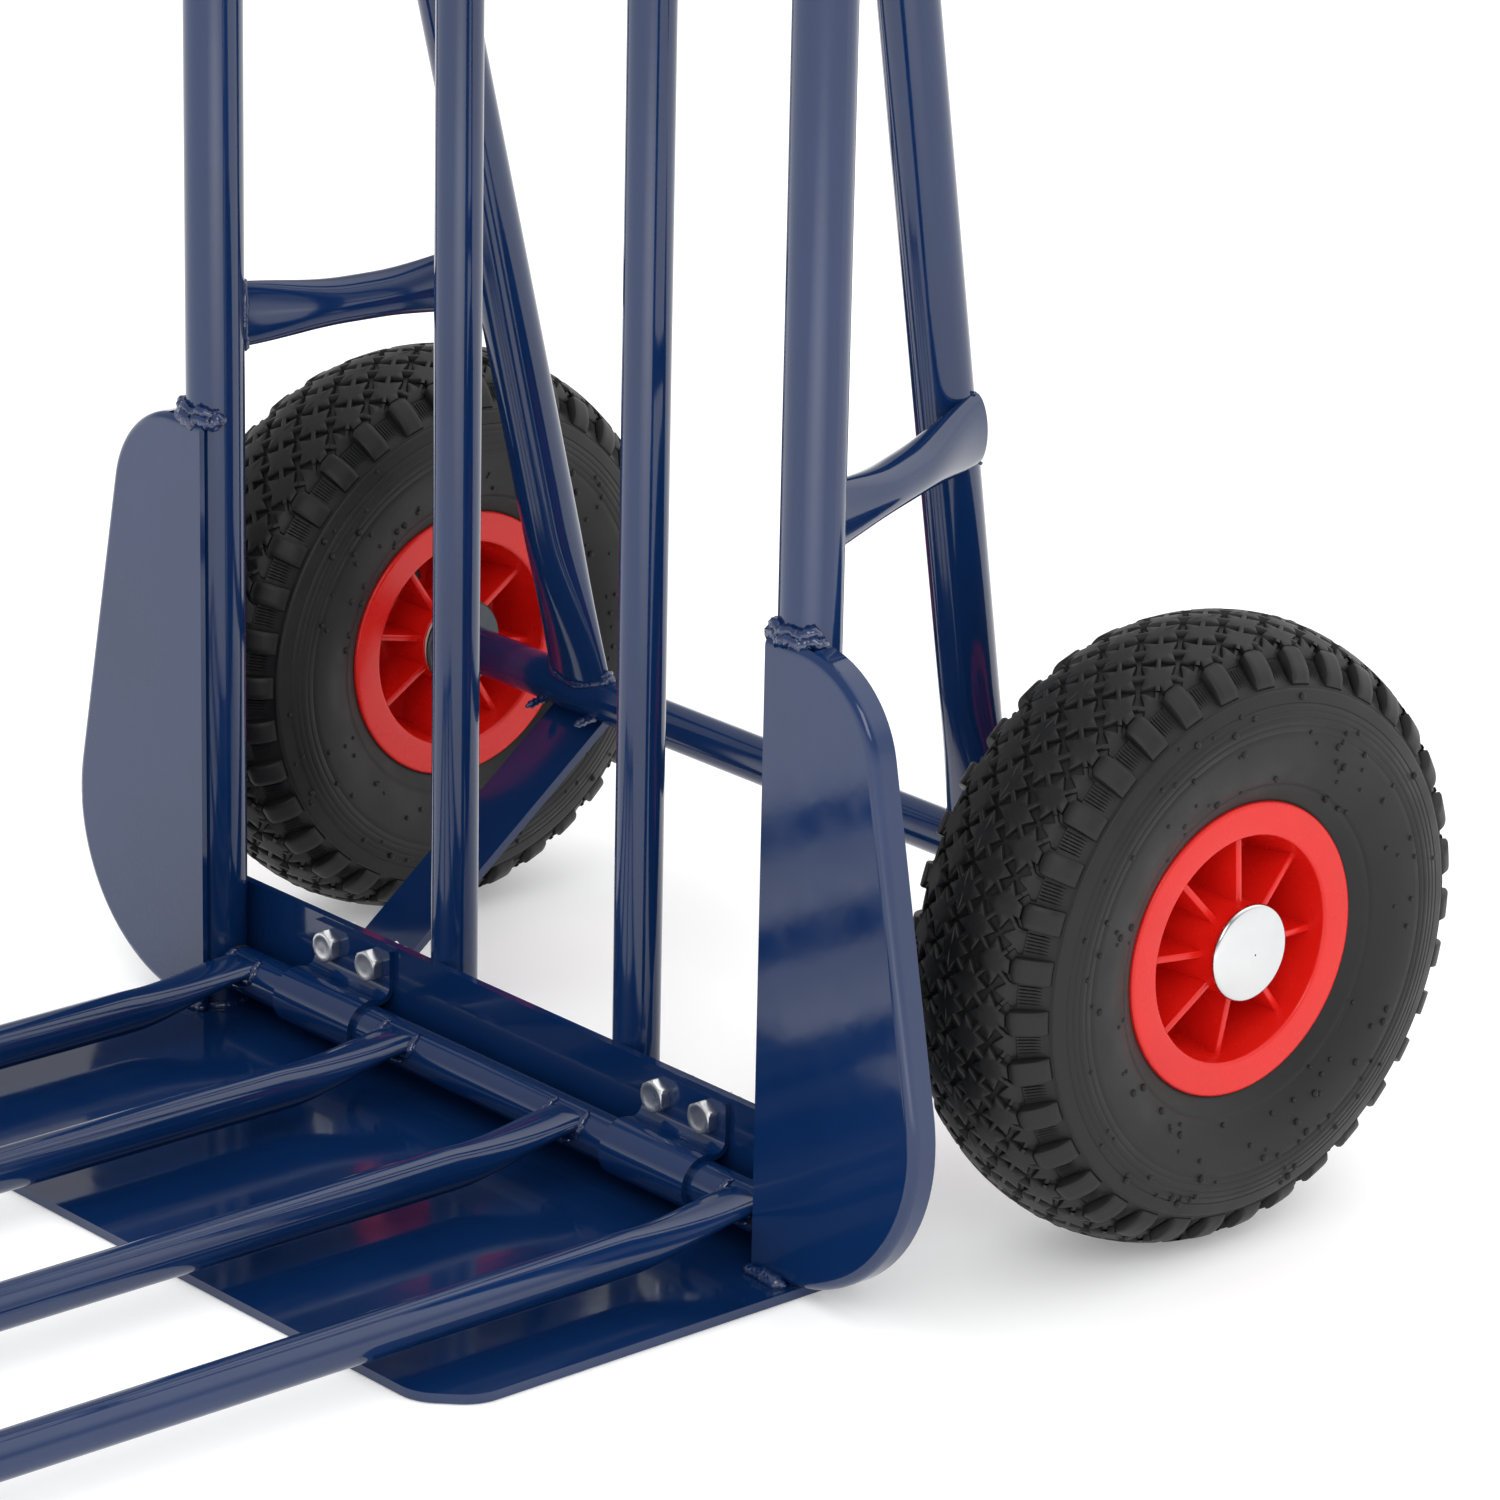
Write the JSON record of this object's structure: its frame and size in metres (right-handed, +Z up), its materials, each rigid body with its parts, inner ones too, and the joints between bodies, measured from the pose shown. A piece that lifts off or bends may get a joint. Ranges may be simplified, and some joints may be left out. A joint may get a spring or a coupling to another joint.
{
  "type": "convertible hand truck",
  "caption": "Two-wheel tubular steel hand truck with a toe plate, wheel guards, pneumatic tyres and a fold-down tubular nose extension hinged on the toe plate",
  "frame": {"origin": "on the floor under the toe plate, on the middle plane, level with the centre line of the two main tubes", "axes": "X across the truck, positive to its right-hand wheel; -Y forward over the toe plate and the extension; Z up"},
  "size_m": [0.579, 0.7243, 1.1249],
  "materials": {
    "blue_paint": "deep blue gloss powder coat",
    "red_plastic": "moulded red, satin gloss",
    "tyre": "moulded black rubber",
    "butyl": "smooth black",
    "grip_rubber": "soft matt black",
    "foot_rubber": "matt black",
    "black_plastic": "matt black",
    "nylon": "natural white nylon",
    "zinc": "bright zinc plate",
    "grey_steel": "dull grey",
    "chrome": "polished chrome"
  },
  "bodies": {
    "frame": {"main_tube_left": "blue_paint", "main_tube_right": "blue_paint", "inner_tube_left": "blue_paint", "inner_tube_right": "blue_paint", "inner_tube_plugs": "black_plastic", "crossbar_lower": "blue_paint", "crossbar_upper": "blue_paint", "strut_left": "blue_paint", "strut_right": "blue_paint", "brace_left": "blue_paint", "brace_right": "blue_paint", "strap_left": "blue_paint", "strap_right": "blue_paint", "axle": "blue_paint", "axle_collars": "grey_steel", "axle_washers": "zinc", "axle_pins": "zinc", "guard_left": "blue_paint", "guard_right": "blue_paint", "toe_plate": "blue_paint", "clip_left": "blue_paint", "clip_right": "blue_paint", "clip_bolts": "zinc", "clip_nuts": "zinc", "grip_left": "grip_rubber", "grip_right": "grip_rubber"},
    "extension": {"pivot_tube": "blue_paint", "pivot_plugs": "black_plastic", "ext_loop": "blue_paint", "ext_bar_left": "blue_paint", "ext_bar_right": "blue_paint", "ext_feet": "foot_rubber"},
    "wheel_left": {"tyre_left": "tyre", "air_tube_left": "butyl", "valve_left": "butyl", "rim_left": "red_plastic", "bushes_left": "nylon", "cap_left": "chrome"},
    "wheel_right": {"tyre_right": "tyre", "air_tube_right": "butyl", "valve_right": "butyl", "rim_right": "red_plastic", "bushes_right": "nylon", "cap_right": "chrome"}
  },
  "joints": [
    {"name": "wheel_left_spin", "type": "hinge", "parent": "frame", "child": "wheel_left", "pos_m": [-0.247, 0.155, 0.13], "axis": [1, 0, 0], "continuous": true},
    {"name": "wheel_right_spin", "type": "hinge", "parent": "frame", "child": "wheel_right", "pos_m": [0.247, 0.155, 0.13], "axis": [1, 0, 0], "continuous": true},
    {"name": "extension_fold", "type": "hinge", "parent": "frame", "child": "extension", "pos_m": [0, 0, 0.022], "axis": [-1, 0, 0], "range_deg": [0, 91]}
  ]
}
